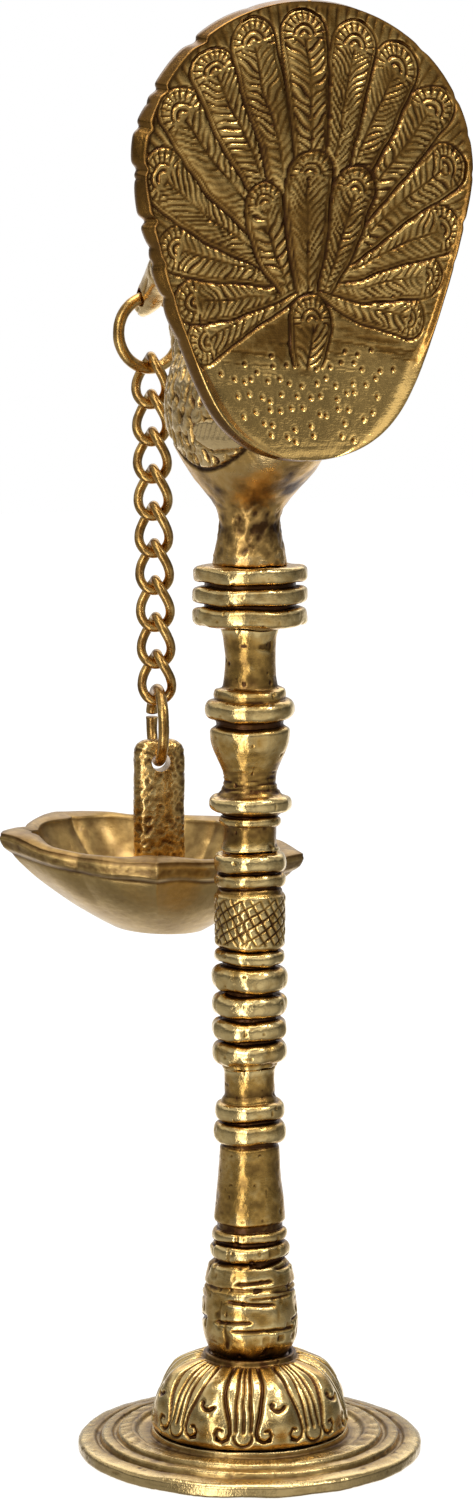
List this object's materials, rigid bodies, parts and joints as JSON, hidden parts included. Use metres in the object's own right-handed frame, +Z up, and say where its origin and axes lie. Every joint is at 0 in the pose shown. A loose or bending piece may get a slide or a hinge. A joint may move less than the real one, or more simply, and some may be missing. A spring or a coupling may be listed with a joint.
{
  "type": "brass standing oil lamp (samai)",
  "caption": "Turned brass stem on a round foot with a peacock finial and fanned tail; a ring and curb chain from its beak carry a spouted oil bowl on a post.",
  "frame": {"origin": "centre of the foot's flat underside", "axes": "+Z up along the stem; the peacock faces -Y and its tail fan stands at +Y; X = 0 is the plane of symmetry"},
  "size_m": [0.0826, 0.1182, 0.317],
  "materials": {
    "foot_brass": "satin turned",
    "stem_brass": "antique polished with dark grooves",
    "peacock_brass": "antique cast and chased",
    "fan_brass": "antique engraved, dark in the cuts",
    "chain_brass": "drawn wire, aged",
    "post_brass": "rough cast, red brown",
    "bowl_brass": "satin, rough at the rim"
  },
  "bodies": {
    "stand": {"foot_disc": "foot_brass", "lotus_dome": "stem_brass", "lower_stem": "stem_brass", "middle_stem": "stem_brass", "upper_stem": "stem_brass", "top_collar": "stem_brass", "peacock_body": "peacock_brass", "tail_fan": "fan_brass"},
    "beak_ring": {"beak_ring": "chain_brass"},
    "chain_link_1": {"chain_link_1": "chain_brass"},
    "chain_link_2": {"chain_link_2": "chain_brass"},
    "chain_link_3": {"chain_link_3": "chain_brass"},
    "chain_link_4": {"chain_link_4": "chain_brass"},
    "chain_link_5": {"chain_link_5": "chain_brass"},
    "chain_link_6": {"chain_link_6": "chain_brass"},
    "chain_link_7": {"chain_link_7": "chain_brass"},
    "chain_link_8": {"chain_link_8": "chain_brass"},
    "chain_link_9": {"chain_link_9": "chain_brass"},
    "post_ring": {"post_ring": "chain_brass"},
    "oil_bowl": {"lamp_bowl": "bowl_brass", "bowl_post": "post_brass"}
  },
  "joints": [
    {"name": "beak_ring_swing", "type": "hinge", "parent": "stand", "child": "beak_ring", "pos_m": [0, -0.0439, 0.2549], "axis": [-1, 0, 0], "range_deg": [-2, 35]},
    {"name": "chain_link_1_sway", "type": "hinge", "parent": "beak_ring", "child": "chain_link_1", "pos_m": [-0.00021, -0.04378, 0.24164], "axis": [0, 1, 0], "range_deg": [-25, 25]},
    {"name": "chain_link_2_swing", "type": "hinge", "parent": "chain_link_1", "child": "chain_link_2", "pos_m": [-0.00037, -0.04368, 0.23078], "axis": [1, 0, 0], "range_deg": [-25, 3]},
    {"name": "chain_link_3_sway", "type": "hinge", "parent": "chain_link_2", "child": "chain_link_3", "pos_m": [-0.00047, -0.04362, 0.22482], "axis": [0, -1, 0], "range_deg": [-25, 25]},
    {"name": "chain_link_4_swing", "type": "hinge", "parent": "chain_link_3", "child": "chain_link_4", "pos_m": [-0.00064, -0.04352, 0.21396], "axis": [-1, 0, 0], "range_deg": [-3.5, 25]},
    {"name": "chain_link_5_sway", "type": "hinge", "parent": "chain_link_4", "child": "chain_link_5", "pos_m": [-0.00073, -0.04346, 0.208], "axis": [0, 1, 0], "range_deg": [-25, 25]},
    {"name": "chain_link_6_swing", "type": "hinge", "parent": "chain_link_5", "child": "chain_link_6", "pos_m": [-0.00089, -0.04336, 0.19714], "axis": [1, 0, 0], "range_deg": [-25, 4.5]},
    {"name": "chain_link_7_sway", "type": "hinge", "parent": "chain_link_6", "child": "chain_link_7", "pos_m": [-0.00099, -0.04331, 0.19118], "axis": [0, -1, 0], "range_deg": [-25, 25]},
    {"name": "chain_link_8_swing", "type": "hinge", "parent": "chain_link_7", "child": "chain_link_8", "pos_m": [-0.00116, -0.04321, 0.18032], "axis": [-1, 0, 0], "range_deg": [-6, 25]},
    {"name": "chain_link_9_sway", "type": "hinge", "parent": "chain_link_8", "child": "chain_link_9", "pos_m": [-0.00125, -0.04315, 0.17436], "axis": [0, 1, 0], "range_deg": [-25, 25]},
    {"name": "post_ring_swing", "type": "hinge", "parent": "chain_link_9", "child": "post_ring", "pos_m": [-0.00142, -0.04305, 0.1635], "axis": [1, 0, 0], "range_deg": [-25, 9]},
    {"name": "oil_bowl_tilt", "type": "hinge", "parent": "post_ring", "child": "oil_bowl", "pos_m": [-0.00163, -0.04292, 0.14977], "axis": [0.342, 0.9397, 0], "range_deg": [-15, 15]}
  ]
}
